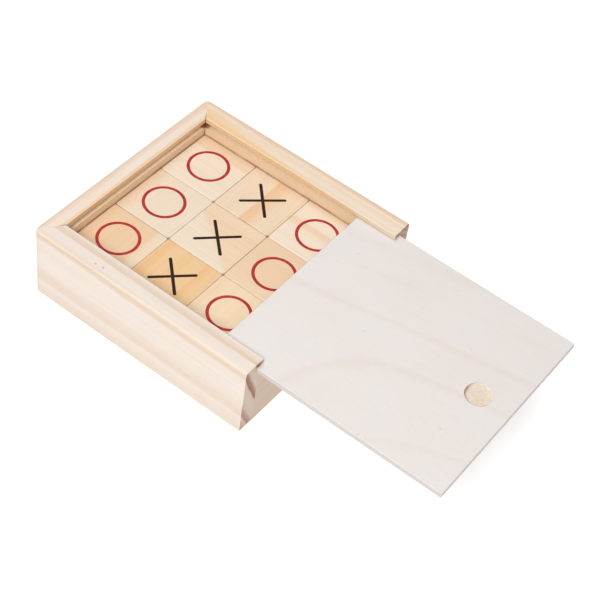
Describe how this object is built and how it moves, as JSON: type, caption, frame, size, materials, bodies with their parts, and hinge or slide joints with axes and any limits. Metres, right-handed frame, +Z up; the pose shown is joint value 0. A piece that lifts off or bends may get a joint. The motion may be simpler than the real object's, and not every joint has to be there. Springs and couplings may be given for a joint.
{
  "type": "tic tac toe set",
  "caption": "Noughts and crosses set: square wooden blocks marked with a ring and a cross, in a mitred pine box with a sliding plywood lid.",
  "frame": {"origin": "centre of the box's bottom face, where the box stands", "axes": "+Z up; -Y is the way the lid slides open, over the low front rail; +X is the right-hand wall seen from the front"},
  "size_m": [0.1124, 0.2018, 0.0375],
  "materials": {
    "pine": "planed and sanded, unvarnished pine with faint growth rings",
    "piece_wood": "sanded pine, unvarnished",
    "plywood": "sanded pale plywood, unvarnished",
    "red_ink": "matt printed ink",
    "black_ink": "matt printed ink",
    "brads": "bright drawn steel"
  },
  "bodies": {
    "box": {"left_wall": "pine", "right_wall": "pine", "back_wall": "pine", "front_rail": "pine", "bottom_panel": "plywood", "floor_brads": "brads"},
    "lid": {"sliding_lid": "plywood"},
    "piece_back_left": {"piece_back_left": "piece_wood", "piece_back_left_ring": "red_ink", "piece_back_left_cross": "black_ink"},
    "piece_back_centre": {"piece_back_centre": "piece_wood", "piece_back_centre_ring": "red_ink", "piece_back_centre_cross": "black_ink"},
    "piece_back_right": {"piece_back_right": "piece_wood", "piece_back_right_ring": "red_ink", "piece_back_right_cross": "black_ink"},
    "piece_middle_left": {"piece_middle_left": "piece_wood", "piece_middle_left_ring": "red_ink", "piece_middle_left_cross": "black_ink"},
    "piece_middle_centre": {"piece_middle_centre": "piece_wood", "piece_middle_centre_ring": "red_ink", "piece_middle_centre_cross": "black_ink"},
    "piece_middle_right": {"piece_middle_right": "piece_wood", "piece_middle_right_ring": "red_ink", "piece_middle_right_cross": "black_ink"},
    "piece_front_left": {"piece_front_left": "piece_wood", "piece_front_left_ring": "red_ink", "piece_front_left_cross": "black_ink"},
    "piece_front_centre": {"piece_front_centre": "piece_wood", "piece_front_centre_ring": "red_ink", "piece_front_centre_cross": "black_ink"},
    "piece_front_right": {"piece_front_right": "piece_wood", "piece_front_right_ring": "red_ink", "piece_front_right_cross": "black_ink"}
  },
  "joints": [
    {"name": "lid_slide", "type": "slide", "parent": "box", "child": "lid", "axis": [0, -1, 0], "range_m": [-0.0884, 0.025]},
    {"name": "piece_back_left_lift", "type": "slide", "parent": "box", "child": "piece_back_left", "axis": [0, 0, 1], "range_m": [0, 0.04]},
    {"name": "piece_back_centre_lift", "type": "slide", "parent": "box", "child": "piece_back_centre", "axis": [0, 0, 1], "range_m": [0, 0.04]},
    {"name": "piece_back_right_lift", "type": "slide", "parent": "box", "child": "piece_back_right", "axis": [0, 0, 1], "range_m": [0, 0.04]},
    {"name": "piece_middle_left_lift", "type": "slide", "parent": "box", "child": "piece_middle_left", "axis": [0, 0, 1], "range_m": [0, 0.04]},
    {"name": "piece_middle_centre_lift", "type": "slide", "parent": "box", "child": "piece_middle_centre", "axis": [0, 0, 1], "range_m": [0, 0.04]},
    {"name": "piece_middle_right_lift", "type": "slide", "parent": "box", "child": "piece_middle_right", "axis": [0, 0, 1], "range_m": [0, 0.04]},
    {"name": "piece_front_left_lift", "type": "slide", "parent": "box", "child": "piece_front_left", "axis": [0, 0, 1], "range_m": [0, 0.0037]},
    {"name": "piece_front_centre_lift", "type": "slide", "parent": "box", "child": "piece_front_centre", "axis": [0, 0, 1], "range_m": [0, 0.0037]},
    {"name": "piece_front_right_lift", "type": "slide", "parent": "box", "child": "piece_front_right", "axis": [0, 0, 1], "range_m": [0, 0.0037]}
  ]
}
